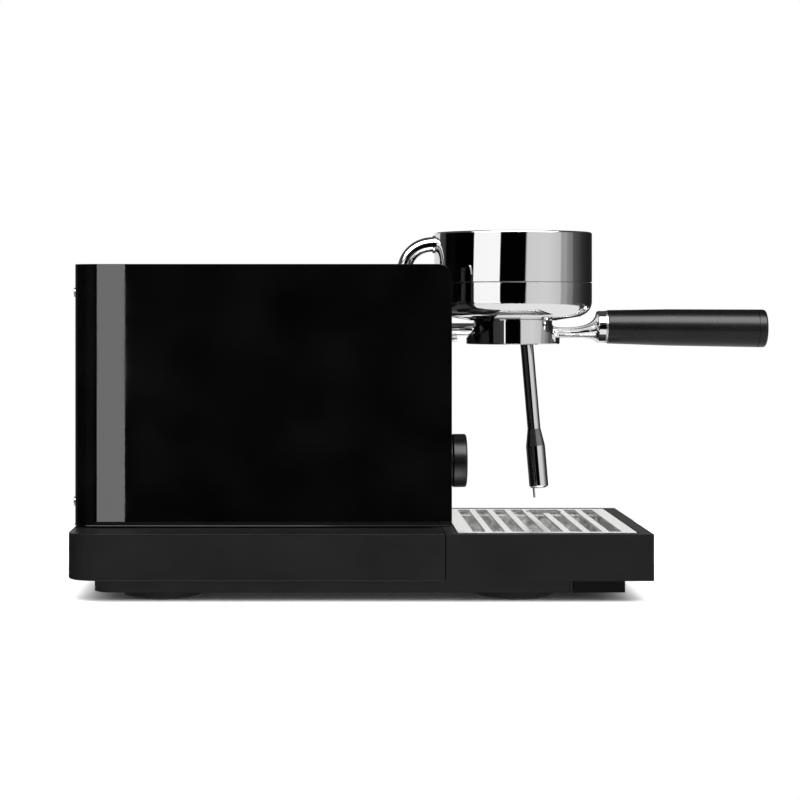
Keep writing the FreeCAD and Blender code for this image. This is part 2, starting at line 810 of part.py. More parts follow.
def make_steam_wand():
    """Swivelling steam pipe, the fitting on the far cheek, frothing tip and probe pin."""
    side, level, radius = d.wand_side, d.wand_level, d.wand_radius
    port, inside = d.steam_port_x, d.casing_half_width - 18
    barrel = turned("fitting", [(-18.4, 0), (-18.4, 8.8), (-17.4, d.fitting_radius),
                                (20, d.fitting_radius), (20, 0)], "H_Axis")
    place(barrel, (0, side, level))
    stub = rod("port_stub", "Y", (port, inside + 5, level), side - inside - 8, 6)
    elbow = box("port_elbow", (port - 6.6, port + 6.6), (inside, inside + 11),
                (level - 7, level + 7))
    nut = rod("gland_nut", "X", (17, side, level - 7.4), 9.9, 2.0)
    bore = rod("arm_bore", "X", (-8, side, level), 40, radius + 0.05)
    keep("steam_fitting", cut("fitting_open",
                              fuse("fitting_solid", [barrel, stub, elbow, nut]), [bore]))
    corners = [(-7, level), (d.wand_bend_x, level, d.wand_bend),
               (d.wand_end_x, d.wand_end_level)]
    keep("steam_pipe", tube("steam", "XZ_Plane", side, corners, radius, 2.6))
    lean = Rotation(WORLD["Y"], -d.wand_lean.number)
    taper, length, out = d.tip_taper, d.tip_length, d.tip_radius
    line = -length + 10
    tip = turned("tip", [(0, 0), (radius, 0), (out, -taper, 6), (out, line + 0.5),
                         (out - 0.3, line + 0.5), (out - 0.3, line), (out, line),
                         (out, -length, 2.2), (1.6, -length), (1.6, -length + 12),
                         (0, -length + 12)])
    keep("steam_tip", place(tip, (d.wand_end_x, side, d.wand_end_level), lean))
    probe = turned("probe", [(0, -7.8), (0.8, -7.0), (0.8, 0), (0, 0)])
    foot = Vector(d.wand_end_x.number, side.number, d.wand_end_level.number)
    foot += lean.multVec(Vector(-4.2, 0, -length.number))
    keep("steam_probe", place(probe, (foot.x, side, foot.z), lean))


# ---------------------------------------------------------------- knob


def make_knob():
    """Push-and-turn knob on its shaft, with a fixed bezel and the encoder behind."""
    at = (0, 0, d.knob_level)
    out, shaft = d.knob_radius, d.shaft_radius
    bezel = turned("bezel", [(0.02, shaft + 0.1), (0.02, out), (d.bezel_front - 0.3, out),
                             (d.bezel_front, out - 0.3), (d.bezel_front, 14),
                             (d.bezel_front - 6, 14), (d.bezel_front - 6, shaft + 0.1)],
                   "H_Axis")
    keep("knob_bezel", place(bezel, at))
    knob = turned("dial", [(d.knob_back, shaft + 0.04), (d.knob_back, out - 0.4),
                           (d.knob_back + 0.4, out), (d.knob_front, out, 1.6),
                           (d.knob_front, 0), (27, 0), (27, shaft + 0.04)], "H_Axis")
    keep("knob", place(knob, at))
    rod_ = turned("spindle", [(-10, 0), (-10, shaft), (26.95, shaft), (26.95, 0)], "H_Axis")
    keep("knob_shaft", place(rod_, at))
    case = box("encoder_case", (-15, -3.05), (-8, 8), (d.knob_level - 8, d.knob_level + 8))
    way = rod("encoder_way", "X", (-11.5, 0, d.knob_level), 10, shaft + 0.05)
    keep("encoder", cut("encoder_open", case, [way]))


# ---------------------------------------------------------------- drip tray


def make_tray():
    """Moulded tray with a broad rim, a deeper front lip and a stepped seat for the plate."""
    tray = body("tray")
    half, top, floor = d.base_half_width, d.tray_top, d.base_bottom
    back, front, wall, rim = d.tray_back, d.tray_front, d.tray_wall, d.rim_width
    outer = rectangle(sketch(tray, level=floor), (back, front), (-half, half))
    pad(tray, outer, top - floor)
    skirt = rectangle(sketch(tray, level=floor), (d.lip_back, d.lip_front),
                      (-d.plinth_half_width, d.plinth_half_width))
    pad(tray, skirt, floor - d.plinth_bottom, reverse=True)
    seat = rectangle(sketch(tray, level=top), (d.plate_back - 1.4, d.plate_front + 1.4),
                     (-d.plate_half_width - 0.8, d.plate_half_width + 0.8), 1.5)
    pocket(tray, seat, d.plate_sheet)
    well = rectangle(sketch(tray, level=top), (back + rim, front - rim),
                     (-half + rim, half - rim), 5)
    pocket(tray, well, top - floor - wall)
    deep = rectangle(sketch(tray, level=floor + wall),
                     (d.lip_back + wall, d.lip_front - wall),
                     (-d.plinth_half_width + wall, d.plinth_half_width - wall), 3)
    pocket(tray, deep, floor - d.plinth_bottom)
    upright = [f"Edge{i}" for i, edge in enumerate(tray.Tip.Shape.Edges, start=1)
               if abs(abs(edge.BoundBox.YMin) - half.number) < 0.01
               and abs(edge.BoundBox.XMin - front.number) < 0.01
               and edge.BoundBox.ZLength > 20]
    soften(tray, "Fillet", 1.6, upright)
    keep("drip_tray", tray)

    liner = body("liner")
    gap = rim + 0.5
    outer = rectangle(sketch(liner, level=floor + wall), (back + gap, front - gap),
                      (-half + gap, half - gap), 4.6)
    pad(liner, outer, 24)
    inner = rectangle(sketch(liner, level=floor + wall + 0.8),
                      (back + gap + 0.8, front - gap - 0.8),
                      (-half + gap + 0.8, half - gap - 0.8), 3.8)
    pocket(liner, inner, 24, reverse=True)
    keep("tray_liner", liner)


def make_drip_plate():
    """Brushed grille with a row of slots and one finger hole."""
    plate = body("plate")
    level = d.tray_top - d.plate_sheet + 0.2
    half = d.plate_half_width
    outer = rectangle(sketch(plate, level=level), (d.plate_back, d.plate_front),
                      (-half, half), 1.2)
    pad(plate, outer, d.plate_sheet)
    slot = rectangle(sketch(plate, level=level), (d.slot_start, d.slot_start + d.slot_width),
                     (-d.slot_half_length, d.slot_half_length), 1.0)
    first = pocket(plate, slot, d.plate_sheet + 1, reverse=True)
    row = plate.newObject("PartDesign::LinearPattern", "slot_row")
    row.Originals = [first]
    row.Direction = (cover_axis(plate, "X_Axis"), [""])
    bind(row, "Occurrences", d.slot_count)
    bind(row, "Length", d.slot_pitch * (d.slot_count - 1))
    plate.Tip = row
    doc.recompute()
    hole = circle(sketch(plate, level=level), d.finger_x, d.finger_side, d.finger_radius)
    pocket(plate, hole, d.plate_sheet + 1, reverse=True)
    keep("drip_plate", plate)


# ---------------------------------------------------------------- water tank


def make_tank():
    """Lift-out tank with a hinged lid, an outlet valve and the seat it plugs into."""
    back, front, half = d.tank_back, d.tank_front, d.tank_half_width
    low, high, wall = d.tank_bottom, d.tank_top, d.tank_wall
    shell = body("tank")
    outer = rectangle(sketch(shell, level=low), (back, front), (-half, half), 8)
    pad(shell, outer, high - low)
    inner = rectangle(sketch(shell, level=low + wall), (back + wall, front - wall),
                      (-half + wall, half - wall), 8 - wall)
    pocket(shell, inner, high - low, reverse=True)
    port = circle(sketch(shell, level=low), d.valve_x, 0, 4)
    pocket(shell, port, wall + 1, reverse=True)
    top = d.cover_top
    under, thick = top - d.lid_sheet, d.lid_sheet
    pin_x, pin_z, pin = d.lid_pin_x, top - thick / 2, d.lid_pin_radius
    half_lid = d.panel_half_width - 0.5

    strip = body("strip")
    rear = back - 0.5
    shape = [(pin_x - 2, -half_lid + 0.5), (pin_x - 2, half_lid - 0.5),
             (rear, half_lid - 0.5, 8), (rear, -half_lid + 0.5, 8)]
    pad(strip, chain(sketch(strip, level=under), shape), thick)
    solids = [shell, strip, box("strip_wall", (back, back + wall), (-36, 36),
                                (high - 1, under + 1))]
    notches = []
    for number, side in enumerate((-30, 30)):
        eye = rod(f"lug_{number}", "Y", (pin_x, side - 5, pin_z), 10, thick / 2)
        root = box(f"lug_root_{number}", (pin_x - 2.5, pin_x), (side - 5, side + 5),
                   (under, top))
        solids += [eye, root]
        notches.append(box(f"notch_{number}", (pin_x - 2, pin_x + 1.8),
                           (side - 5.3, side + 5.3), (under - 1, top + 1)))
    way = rod("pin_way", "Y", (pin_x, -40, pin_z), 80, pin + 0.02)
    keep("water_tank", cut("tank_open", fuse("tank_solid", solids), [way]))
    keep("lid_pin", rod("pin", "Y", (pin_x, -36, pin_z), 72, pin))

    lid = body("lid")
    rectangle(sketch(lid, level=under), (pin_x, d.cover_back - 0.8), (-half_lid, half_lid))
    pad(lid, lid.Group[0], thick)
    scoop = circle(sketch(lid, level=top), d.cover_back + 4, 0, 14)
    pocket(lid, scoop, thick + 1)
    edge = rod("lid_edge", "Y", (pin_x, -half_lid, pin_z), half_lid * 2, thick / 2)
    way = rod("lid_pin_way", "Y", (pin_x, -40, pin_z), 80, pin + 0.06)
    keep("tank_lid", cut("lid_open", fuse("lid_solid", [lid, edge]), notches + [way]))

    valve = turned("valve", [(0, low - 7.5), (5.5, low - 7.5), (7.8, low - 5), (7.8, low),
                             (3.95, low), (3.95, low + 4.5), (6, low + 4.5), (6, low + 7),
                             (0, low + 7)])
    keep("tank_valve", place(valve, (d.valve_x, 0, 0)))
    seat = box("seat_block", (d.valve_x - 18, d.valve_x + 17), (-18, 18),
               (d.base_top + d.deck_sheet, low - 1.6))
    socket = rod("seat_socket", "Z", (d.valve_x, 0, low - 8.5), 10, 8.4)
    way = rod("seat_way", "X", (d.valve_x + 4, 0, d.suction_level), 20, d.hose_bore)
    keep("tank_seat", cut("seat", seat, [socket, way]))


# ---------------------------------------------------------------- works inside


def make_water_circuit():
    """Flow meter, vibration pump, heater block, valve and the hoses between them."""
    deck, hose, bore = d.base_top + d.deck_sheet, d.hose_radius, d.hose_bore
    side, level = d.pump_side, d.pump_level
    meter = box("meter_block", (-150, -126), (-8, 20), (deck, 80))
    keep("flow_meter", meter)
    coil = box("pump_coil", (-100, -64), (side - 18, side + 18), (level - 18, level + 18))
    tail = rod("pump_tail", "X", (-116, side, level), 17, 9)
    nose = rod("pump_nose", "X", (-65, side, level), 25, 7)
    keep("pump", fuse("pump_solid", [coil, tail, nose]))
    keep("pump_mounts", gather("pump_mount_pair", [
        box("mount_tail", (-113, -104), (side - 7, side + 7), (deck, level - 9.02)),
        box("mount_nose", (-56, -47), (side - 7, side + 7), (deck, level - 7.02))]))

    back, front = d.heater_back, d.heater_front
    inner, outer = d.heater_inner, d.heater_outer
    block = body("heater")
    face = rectangle(sketch(block, "XZ_Plane", outer), (back, front),
                     (d.heater_bottom, d.heater_top), 6)
    pad(block, face, outer - inner)
    fin = rectangle(sketch(block, "YZ_Plane", front - 8), (inner + 4, outer - 4),
                    (d.heater_top - 6, d.heater_top + 1))
    cooling = pocket(block, fin, 5)
    row = block.newObject("PartDesign::LinearPattern", "fin_row")
    row.Originals = [cooling]
    row.Direction = (cover_axis(block, "X_Axis"), [""])
    row.Reversed = True
    row.Occurrences = 6
    bind(row, "Length", 55)
    block.Tip = row
    feet = [rod(f"heater_foot_{i}", "Z", (x, y, deck), d.heater_bottom - deck + 1, 4)
            for i, (x, y) in enumerate(((back + 10, inner + 8), (back + 10, outer - 8),
                                        (front - 10, inner + 8), (front - 10, outer - 8)))]
    keep("heater_block", fuse("heater_on_feet", [block] + feet))

    keep("brew_valve", gather("valve_and_coil", [
        box("valve_block", (-58, -8), (-12, 12), (180, 205)),
        box("valve_coil", (-50, -20), (12, 40), (178, 207))]))

    bend = d.hose_bend
    port, steam_x, steam_y = inner + 18, d.steam_port_x, d.casing_half_width - 12
    hoses = {
        "suction_hose": ("XZ_Plane", 0, [(d.valve_x + 17, d.suction_level),
                                         (-150, d.suction_level)]),
        "pump_hose": ("XY_Plane", level, [(-138, -8), (-138, side, bend), (-116, side)]),
        "pressure_hose": ("XY_Plane", level, [(front, side), (-20, side, bend),
                                              (-20, port, bend), (front, port)]),
        "brew_hose": ("XZ_Plane", inner + 5, [(front - 4, d.heater_top), (front - 4, 180)]),
        "steam_hose": ("XZ_Plane", steam_y, [(front, 118), (steam_x, 118, bend),
                                             (steam_x, d.wand_level - 7)]),
    }
    for label, (role, at, corners) in hoses.items():
        keep(label, tube(label + "_body", role, at, corners, hose, bore))


def make_control_board():
    """Circuit board on four standoffs inside the left cheek, with its larger parts."""
    skin = -d.casing_half_width + d.casing_sheet
    face = skin + 5
    posts = [rod(f"standoff_{i}", "Y", (x, skin, z), 5, 2.5)
             for i, (x, z) in enumerate(((-134, 116), (-134, 194), (-36, 116), (-36, 194)))]
    keep("board_standoffs", gather("standoff_group", posts))
    keep("control_board", box("board", (-140, -30), (face, face + 1.6), (110, 200)))
    top = face + 1.6
    parts = [box("relay", (-124, -104), (top, top + 14), (120, 150)),
             box("transformer", (-94, -60), (top, top + 16), (128, 160)),
             box("terminal", (-130, -80), (top, top + 9), (176, 188))]
    parts += [rod(f"capacitor_{i}", "Y", (x, top, 182), 16, 5)
              for i, x in enumerate((-68, -54, -40))]
    keep("board_parts", gather("board_part_group", parts))


def make_power_entry():
    """Mains inlet with its three pins, and the rocker switch beside it."""
    side, level, back = d.inlet_side, d.entry_level, d.base_back + 0.2
    shell = box("inlet_shell", (back, back + 28), (side - 14, side + 14),
                (level - 11, level + 11))
    well = box("inlet_well", (back - 1, back + 17), (side - 12, side + 12),
               (level - 8.2, level + 8.2))
    pins = [box(f"blade_{i}", (back + 8.4, back + 17), (side + y - 1, side + y + 1),
                (level + z - 2, level + z + 2))
            for i, (y, z) in enumerate(((-7, -1.5), (0, 3), (7, -1.5)))]
    keep("inlet_socket", gather("inlet_and_pins", [cut("inlet", shell, [well])] + pins))

    side = d.switch_side
    frame = box("switch_block", (back, back + 20), (side - 13, side + 13),
                (level - 10, level + 10))
    well = box("switch_well", (back - 1, back + 15), (side - 10.4, side + 10.4),
               (level - 7.4, level + 7.4))
    keep("switch_frame", cut("switch_open", frame, [well]))
    rocker = body("rocker")
    shape = [(4.5, -9.4), (4.5, 9.4), (-3.4, 9.4), (-2.0, 0), (-3.4, -9.4)]
    outline = chain(sketch(rocker, "XY_Plane", -6.8), shape)
    pad(rocker, outline, 13.6)
    keep("power_rocker", place(rocker, (back + 5, side, level), Rotation(WORLD["Z"], 6)))


make_base()
make_plinth()
make_feet()
make_chassis()
make_casing()
make_casing_screws()
make_front_panel()
make_top_cover()
make_group()
make_feed_pipe()
make_portafilter()
make_handle()
make_steam_wand()
make_knob()
make_tray()
make_drip_plate()
make_tank()
make_water_circuit()
make_control_board()
make_power_entry()

doc.recompute()
for item in doc.Objects:
    if "Invalid" in item.State or "Error" in item.State:
        raise RuntimeError(f"{item.Label} failed to build: {item.State}")

os.makedirs("parts", exist_ok=True)
for item in pieces:
    shape = item.Shape
    if shape.isNull() or not shape.isValid():
        raise RuntimeError(f"{item.Label} has no valid shape")
    shape.exportStep(f"parts/{item.Label}.step")
print(len(pieces), "pieces written")
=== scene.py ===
import math

import bmesh
import bpy
from mathutils import Matrix, Vector


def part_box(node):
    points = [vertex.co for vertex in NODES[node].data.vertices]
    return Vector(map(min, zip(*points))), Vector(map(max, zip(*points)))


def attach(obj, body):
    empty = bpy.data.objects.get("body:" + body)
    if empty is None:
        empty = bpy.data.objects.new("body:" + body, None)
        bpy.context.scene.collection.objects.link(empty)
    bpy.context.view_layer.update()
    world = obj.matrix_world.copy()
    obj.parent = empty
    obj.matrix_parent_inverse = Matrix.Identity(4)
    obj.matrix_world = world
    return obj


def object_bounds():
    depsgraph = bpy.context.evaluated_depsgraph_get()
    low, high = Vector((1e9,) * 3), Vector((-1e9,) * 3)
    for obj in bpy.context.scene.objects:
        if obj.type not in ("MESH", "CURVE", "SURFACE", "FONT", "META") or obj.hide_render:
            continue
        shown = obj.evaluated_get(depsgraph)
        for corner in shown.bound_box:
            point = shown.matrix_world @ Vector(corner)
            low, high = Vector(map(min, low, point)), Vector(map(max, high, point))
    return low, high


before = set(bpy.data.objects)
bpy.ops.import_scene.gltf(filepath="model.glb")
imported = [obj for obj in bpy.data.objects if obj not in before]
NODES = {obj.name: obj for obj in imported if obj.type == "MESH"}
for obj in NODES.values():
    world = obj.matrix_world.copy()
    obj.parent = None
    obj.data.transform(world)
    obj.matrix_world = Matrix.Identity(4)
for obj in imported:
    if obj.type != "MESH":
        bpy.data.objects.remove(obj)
cad_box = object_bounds()

MM = 0.001
scene = bpy.context.scene


# ---------------------------------------------------------------- colours and nodes


def shade(code):
    """An sRGB hex colour as linear red, green, blue and alpha."""
    parts = [int(code[i:i + 2], 16) / 255 for i in (0, 2, 4)]
    return [c / 12.92 if c <= 0.04045 else ((c + 0.055) / 1.055) ** 2.4 for c in parts] + [1.0]


def add(tree, kind, sockets=None, **settings):
    """One node, with its settings, its socket values and its incoming links."""
    made = tree.nodes.new(kind)
    for key, value in settings.items():
        setattr(made, key, value)
    for key, value in (sockets or {}).items():
        if isinstance(value, bpy.types.NodeSocket):
            tree.links.new(value, made.inputs[key])
        else:
            made.inputs[key].default_value = value
    return made


def blank(name, **sockets):
    """An empty material: its node tree, its shader and the place on the object."""
    material = bpy.data.materials.new(name)
    material.use_nodes = True
    tree = material.node_tree
    tree.nodes.clear()
    shader = add(tree, "ShaderNodeBsdfPrincipled",
                 {key.replace("_", " "): value for key, value in sockets.items()})
    add(tree, "ShaderNodeOutputMaterial", {"Surface": shader.outputs["BSDF"]})
    where = add(tree, "ShaderNodeTexCoord").outputs["Object"]
    return material, tree, shader, where


def per(size_mm):
    """The texture scale that repeats about once in this many millimetres."""
    return 1000.0 / size_mm


def stops(node, pairs):
    """Places and colours on a colour ramp."""
    ramp = node.color_ramp
    while len(ramp.elements) > 1:
        ramp.elements.remove(ramp.elements[-1])
    ramp.elements[0].position = pairs[0][0]
    ramp.elements[0].color = pairs[0][1]
    for place, colour in pairs[1:]:
        ramp.elements.new(place).color = colour
    return node


def uneven(tree, shader, source, target, low, high):
    """A shader value that wanders between two levels with a pattern."""
    spread = add(tree, "ShaderNodeMapRange",
                 {"Value": source, "From Min": 0.3, "From Max": 0.7, "To Min": low,
                  "To Max": high})
    tree.links.new(spread.outputs["Result"], shader.inputs[target])


def relief(tree, shader, height, depth_mm, strength=1.0):
    """Fine relief of a real depth on the surface."""
    bump = add(tree, "ShaderNodeBump",
               {"Height": height, "Distance": depth_mm * MM, "Strength": strength})
    tree.links.new(bump.outputs["Normal"], shader.inputs["Normal"])
    return bump


def blotched(tree, shader, source, dark, light):
    """Base colour that drifts between two close shades with a pattern."""
    ramp = add(tree, "ShaderNodeValToRGB", {"Fac": source})
    stops(ramp, [(0.3, shade(dark)), (0.7, shade(light))])
    tree.links.new(ramp.outputs["Color"], shader.inputs["Base Color"])


# ---------------------------------------------------------------- finishes


def stoved_enamel():
    """Gloss black enamel, sprayed on steel and stoved: a deep mirror with slight orange peel."""
    material, tree, shader, where = blank("stoved_gloss_enamel", IOR=1.5)
    peel = add(tree, "ShaderNodeTexNoise", {"Vector": where, "Scale": per(2.4), "Detail": 1.0})
    cloud = add(tree, "ShaderNodeTexNoise", {"Vector": where, "Scale": per(45), "Detail": 2.0})
    blotched(tree, shader, cloud.outputs["Fac"], "020202", "050505")
    uneven(tree, shader, cloud.outputs["Fac"], "Roughness", 0.0, 0.03)
    relief(tree, shader, peel.outputs["Fac"], 0.0006)
    return material


def powder_coat():
    """Satin black powder coat, baked on steel: a fine orange peel that blurs every gleam."""
    material, tree, shader, where = blank("satin_powder_coat", IOR=1.5, Specular_IOR_Level=0.3)
    peel = add(tree, "ShaderNodeTexNoise", {"Vector": where, "Scale": per(0.8), "Detail": 2.0})
    cloud = add(tree, "ShaderNodeTexNoise", {"Vector": where, "Scale": per(40), "Detail": 2.0})
    blotched(tree, shader, cloud.outputs["Fac"], "060606", "0a0a0a")
    uneven(tree, shader, peel.outputs["Fac"], "Roughness", 0.3, 0.42)
    relief(tree, shader, peel.outputs["Fac"], 0.008)
    return material


def moulded(name, dark, light, roughness, grain_mm, depth_mm, gloss=0.5):
    """Moulded plastic or rubber with a spark-eroded mould grain and faint flow clouds."""
    material, tree, shader, where = blank(name, IOR=1.5, Specular_IOR_Level=gloss)
    grain = add(tree, "ShaderNodeTexNoise",
                {"Vector": where, "Scale": per(grain_mm), "Detail": 2.0, "Roughness": 0.6})
    flow = add(tree, "ShaderNodeTexNoise", {"Vector": where, "Scale": per(30), "Detail": 2.0})
    blotched(tree, shader, flow.outputs["Fac"], dark, light)
    uneven(tree, shader, grain.outputs["Fac"], "Roughness", roughness - 0.04, roughness + 0.04)
    relief(tree, shader, grain.outputs["Fac"], depth_mm)
    return material


def polished_chrome():
    """Bright chrome over polished brass: a near-perfect mirror with a few hairline rubs."""
    material, tree, shader, where = blank("polished_chrome", Metallic=1.0)
    shader.inputs["Base Color"].default_value = shade("f2f2f2")
    rubs = add(tree, "ShaderNodeMapping", {"Vector": where, "Scale": (1, 1, 9)})
    wear = add(tree, "ShaderNodeTexNoise",
               {"Vector": rubs.outputs["Vector"], "Scale": per(6), "Detail": 4.0})
    uneven(tree, shader, wear.outputs["Fac"], "Roughness", 0.015, 0.05)
    return material


def brushed(name, dark, light, roughness, along, line_mm=0.35):
    """Belt-brushed stainless steel: fine parallel lines that draw the gloss out sideways."""
    material, tree, shader, where = blank(name, Metallic=1.0)
    stretch = [1.0 if axis != along else 0.012 for axis in "XYZ"]
    lines = add(tree, "ShaderNodeMapping", {"Vector": where, "Scale": stretch})
    hair = add(tree, "ShaderNodeTexNoise",
               {"Vector": lines.outputs["Vector"], "Scale": per(line_mm), "Detail": 3.0})
    blotched(tree, shader, hair.outputs["Fac"], dark, light)
    uneven(tree, shader, hair.outputs["Fac"], "Roughness", roughness - 0.06, roughness + 0.06)
    relief(tree, shader, hair.outputs["Fac"], 0.004)
    return material


def pressed_steel():
    """Pressed and acid-dulled steel of the tray insert: cloudy grey patches, softly uneven."""
    material, tree, shader, where = blank("pressed_tray_steel", Metallic=1.0)
    dull = add(tree, "ShaderNodeTexNoise",
               {"Vector": where, "Scale": per(5), "Detail": 5.0, "Roughness": 0.65})
    blotched(tree, shader, dull.outputs["Fac"], "8a8a8a", "f0f0ee")
    uneven(tree, shader, dull.outputs["Fac"], "Roughness", 0.3, 0.5)
    relief(tree, shader, dull.outputs["Fac"], 0.25)
    return material


def perforated_steel():
    """Etched stainless sheet with close round holes, 0.6 mm drawn as 0.9 mm so they show; the
    holes are painted shade, near-black dots on a solid sheet.
    """
    material, tree, shader, where = blank("perforated_stainless", Metallic=1.0, Roughness=0.25)
    holes = add(tree, "ShaderNodeTexVoronoi",
                {"Vector": where, "Scale": per(2.2), "Randomness": 0.0}, voronoi_dimensions="2D")
    hole_shade_mask = add(tree, "ShaderNodeValToRGB", {"Fac": holes.outputs["Distance"]})
    # Painted shade: the near-black dots stand for the shade seen through the holes, since the
    # sheet itself has no openings.
    stops(hole_shade_mask, [(0.18, shade("050505")), (0.24, shade("cfcfcd"))])
    tree.links.new(hole_shade_mask.outputs["Color"], shader.inputs["Base Color"])
    relief(tree, shader, hole_shade_mask.outputs["Color"], 0.3)
    return material


def cast_aluminium():
    """Pressure die-cast aluminium: dull grey skin with small pits."""
    material, tree, shader, where = blank("die_cast_aluminium", Metallic=1.0)
    skin = add(tree, "ShaderNodeTexNoise",
               {"Vector": where, "Scale": per(1.6), "Detail": 6.0, "Roughness": 0.7})
    blotched(tree, shader, skin.outputs["Fac"], "8e8f90", "babbbc")
    uneven(tree, shader, skin.outputs["Fac"], "Roughness", 0.4, 0.6)
    relief(tree, shader, skin.outputs["Fac"], 0.05)
    return material


def zinc_plate():
    """Zinc-plated steel with the broad crystal flakes of the plating."""
    material, tree, shader, where = blank("zinc_plated_steel", Metallic=1.0)
    flake = add(tree, "ShaderNodeTexVoronoi", {"Vector": where, "Scale": per(3.5)})
    tone = add(tree, "ShaderNodeSeparateColor", {"Color": flake.outputs["Color"]})
    blotched(tree, shader, tone.outputs["Red"], "a0a4a8", "c4c8cc")
    uneven(tree, shader, tone.outputs["Green"], "Roughness", 0.3, 0.45)
    return material


def machined_brass():
    """Turned brass: warm yellow with fine tool rings."""
    material, tree, shader, where = blank("turned_brass", Metallic=1.0)
    rings = add(tree, "ShaderNodeTexNoise", {"Vector": where, "Scale": per(0.5), "Detail": 2.0})
    blotched(tree, shader, rings.outputs["Fac"], "9a7a42", "b9975c")
    uneven(tree, shader, rings.outputs["Fac"], "Roughness", 0.22, 0.36)
    relief(tree, shader, rings.outputs["Fac"], 0.01)
    return material


def clear_copolyester():
    """Injection-moulded clear copolyester, lightly smoked, with faint flow lines."""
    material, tree, shader, where = blank("smoked_copolyester", IOR=1.56)
    shader.inputs["Transmission Weight"].default_value = 0.9
    shader.inputs["Base Color"].default_value = shade("b9c2c6")
    flow = add(tree, "ShaderNodeTexNoise", {"Vector": where, "Scale": per(14), "Detail": 3.0})
    uneven(tree, shader, flow.outputs["Fac"], "Roughness", 0.04, 0.14)
    relief(tree, shader, flow.outputs["Fac"], 0.04)
    return material


def silicone_tube():
    """Extruded silicone: milky, slightly waxy skin."""
    material, tree, shader, where = blank("extruded_silicone", IOR=1.41)
    shader.inputs["Subsurface Weight"].default_value = 0.3
    shader.inputs["Subsurface Radius"].default_value = (0.002, 0.002, 0.002)
    milk = add(tree, "ShaderNodeTexNoise", {"Vector": where, "Scale": per(7), "Detail": 2.0})
    blotched(tree, shader, milk.outputs["Fac"], "d3d0c6", "e6e4dc")
    uneven(tree, shader, milk.outputs["Fac"], "Roughness", 0.35, 0.5)
    return material


def glass_epoxy():
    """Green solder resist over glass-epoxy board: copper tracks show as lighter lines."""
    material, tree, shader, where = blank("glass_epoxy_board", IOR=1.5)
    tracks = add(tree, "ShaderNodeTexBrick",
                 {"Vector": where, "Scale": per(16), "Mortar Size": 0.02,
                  "Color1": shade("0e4a26"), "Color2": shade("10522b"),
                  "Mortar": shade("2f7d45")})
    tree.links.new(tracks.outputs["Color"], shader.inputs["Base Color"])
    uneven(tree, shader, tracks.outputs["Fac"], "Roughness", 0.25, 0.35)
    relief(tree, shader, tracks.outputs["Fac"], 0.03)
    return material


enamel = stoved_enamel()
powder = powder_coat()
chrome = polished_chrome()
satin_abs = moulded("satin_moulded_abs", "050506", "0a0a0b", 0.5, 0.5, 0.006, 0.19)
matt_abs = moulded("matt_moulded_abs", "101011", "151516", 0.6, 0.7, 0.012)
soft_touch = moulded("soft_touch_lacquer", "030303", "070708", 0.3, 0.9, 0.03, 0.36)
rubber = moulded("moulded_black_rubber", "121212", "191918", 0.75, 0.9, 0.02)
nylon = moulded("black_glass_nylon", "151516", "1e1e1f", 0.5, 0.8, 0.01)
acetal = moulded("white_acetal", "cfcec6", "dddcd4", 0.4, 1.0, 0.005)
epoxy = moulded("moulded_epoxy", "17171a", "212126", 0.45, 0.6, 0.01)
plate_steel = brushed("brushed_plate_steel", "d2d2d0", "e6e6e4", 0.3, "Y")
spun_steel = brushed("spun_stainless", "b4b4b2", "cfcfcd", 0.28, "X")
tray_steel = pressed_steel()
screen_steel = perforated_steel()
aluminium = cast_aluminium()
zinc = zinc_plate()
brass = machined_brass()
smoked = clear_copolyester()
silicone = silicone_tube()
laminate = glass_epoxy()

FINISHES = (
    (enamel, "casing_wrap front_panel top_cover tank_lid"),
    (powder, "chassis"),
    (satin_abs, "base_frame drip_tray"),
    (matt_abs, "bottom_plate"),
    (nylon, "encoder switch_frame inlet_socket pump"),
    (soft_touch, "handle_grip handle_cap knob knob_bezel power_rocker"),
    (rubber, "feet pump_mounts pipe_grommet group_gasket"),
    (chrome, "group_body group_cap feed_pipe pipe_collar portafilter handle_ferrule"
             " steam_fitting steam_pipe steam_tip"),
    (plate_steel, "drip_plate"),
    (tray_steel, "tray_liner"),
    (screen_steel, "shower_screen"),
    (spun_steel, "filter_basket basket_spring handle_stud handle_collar shower_screw lid_pin"
                 " knob_shaft steam_probe"),
    (zinc, "group_bracket group_screws foot_screws casing_screws"),
    (aluminium, "heater_block group_heater"),
    (brass, "brew_valve"),
    (smoked, "water_tank"),
    (acetal, "tank_valve tank_seat flow_meter board_standoffs"),
    (silicone, "suction_hose pump_hose pressure_hose brew_hose steam_hose"),
    (laminate, "control_board"),
    (epoxy, "board_parts"),
)

def finish_nodes():
    """Each CAD node gets its finish."""
    for material, names in FINISHES:
        for name in names.split():
            node = NODES[name]
            if not node.material_slots:
                node.data.materials.append(material)
            for holder in node.material_slots:
                holder.material = material


finish_nodes()


# ---------------------------------------------------------------- softened CAD edges


SHARP_ANGLE = math.radians(40)
WELD_GAP = 0.00001
EDGE_ROUNDS_MM = (
    ("casing_wrap", 0.4), ("chassis", 0.3), ("drip_tray", 0.4), ("drip_plate", 0.2),
    ("base_frame", 0.4), ("group_cap", 0.25), ("group_body", 0.25),
)


def ease(name, width_mm):
    """A small round on a CAD node's sharp edges, so that they catch the light."""
    node = NODES[name]
    weld = node.modifiers.new("weld", "WELD")
    weld.merge_threshold = WELD_GAP
    bevel = node.modifiers.new("round", "BEVEL")
    bevel.width = width_mm * MM
    bevel.segments = 2
    bevel.limit_method = "ANGLE"
    bevel.angle_limit = SHARP_ANGLE
    bevel.use_clamp_overlap = True
    normals = node.modifiers.new("flat_faces", "WEIGHTED_NORMAL")
    normals.mode = "FACE_AREA"
    normals.weight = 100
    normals.keep_sharp = True


for name, width in EDGE_ROUNDS_MM:
    ease(name, width)


# ---------------------------------------------------------------- pieces made here


